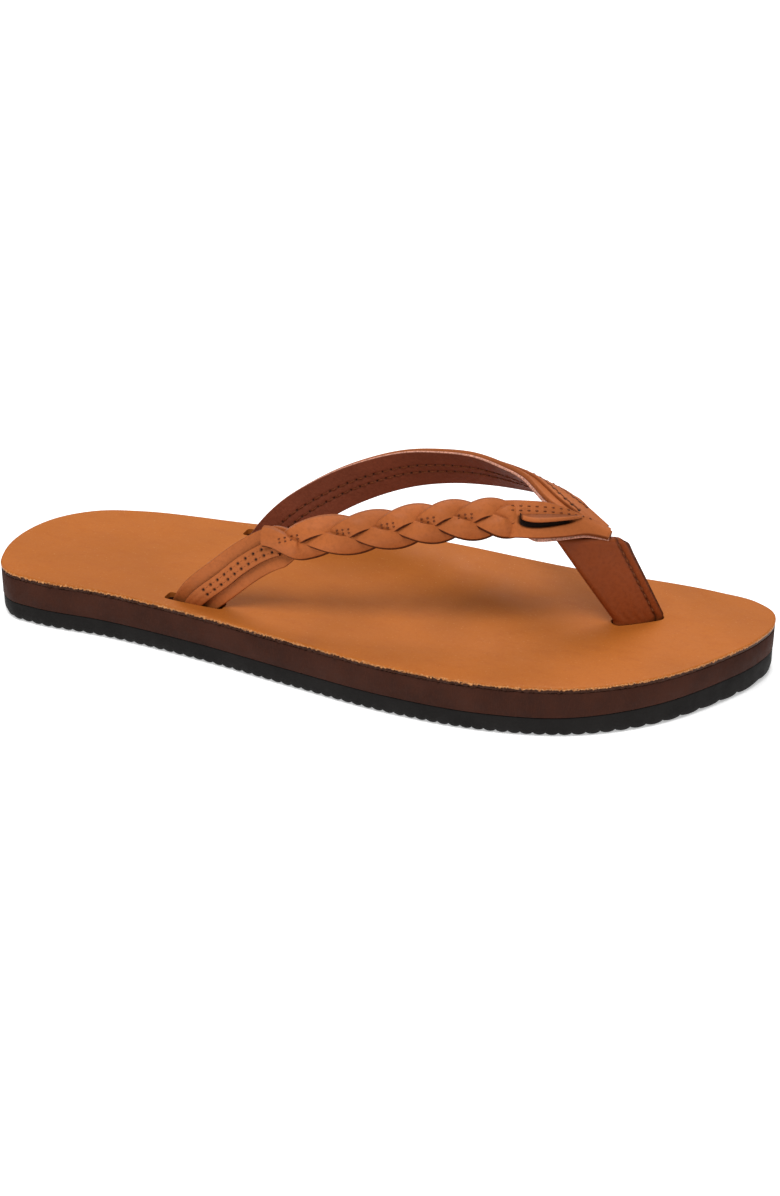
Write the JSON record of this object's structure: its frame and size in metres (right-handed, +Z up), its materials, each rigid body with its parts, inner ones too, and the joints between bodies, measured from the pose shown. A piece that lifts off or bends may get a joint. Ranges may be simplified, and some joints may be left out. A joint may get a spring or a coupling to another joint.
{
  "type": "flip flop",
  "caption": "Leather thong sandal for the right foot with a layered sole, a plain strap, a braided strap and a folded leather toe post.",
  "frame": {"origin": "centre of the sole's outline, on the floor", "axes": "+X from heel to toe, +Y to the medial (big toe) side, +Z up"},
  "size_m": [0.262, 0.0978, 0.0637],
  "materials": {
    "footbed_leather": "smooth waxed tan leather, satin, raw cut edge",
    "strap_leather": "soft matt nubuck-like leather, darker cut edges",
    "lining_leather": "matt reddish brown lining with fine grain",
    "post_leather": "smooth satin brown leather",
    "thread": "twisted brown sewing thread",
    "webbing": "woven nylon",
    "midsole_foam": "matt buffed dark brown sponge rubber",
    "arch_foam": "matt firm foam",
    "outsole_rubber": "matt black rubber with ripple tread"
  },
  "bodies": {
    "root": {"footbed": "footbed_leather", "arch_wedge": "arch_foam", "midsole": "midsole_foam", "outsole": "outsole_rubber", "medial_strap": "strap_leather", "medial_strip": "strap_leather", "medial_lining": "lining_leather", "medial_stitch_upper": "thread", "medial_stitch_lower": "thread", "lateral_strap": "strap_leather", "lateral_strip": "strap_leather", "lateral_lining": "lining_leather", "lateral_stitch_upper": "thread", "lateral_stitch_lower": "thread", "braid_strand_1": "strap_leather", "braid_strand_2": "strap_leather", "braid_strand_3": "strap_leather", "lateral_end": "strap_leather", "lateral_end_stitch": "thread", "braid_end_tab": "strap_leather", "toe_post_sleeve": "post_leather", "toe_post_core": "webbing", "toe_post_stitch": "thread"}
  },
  "joints": []
}
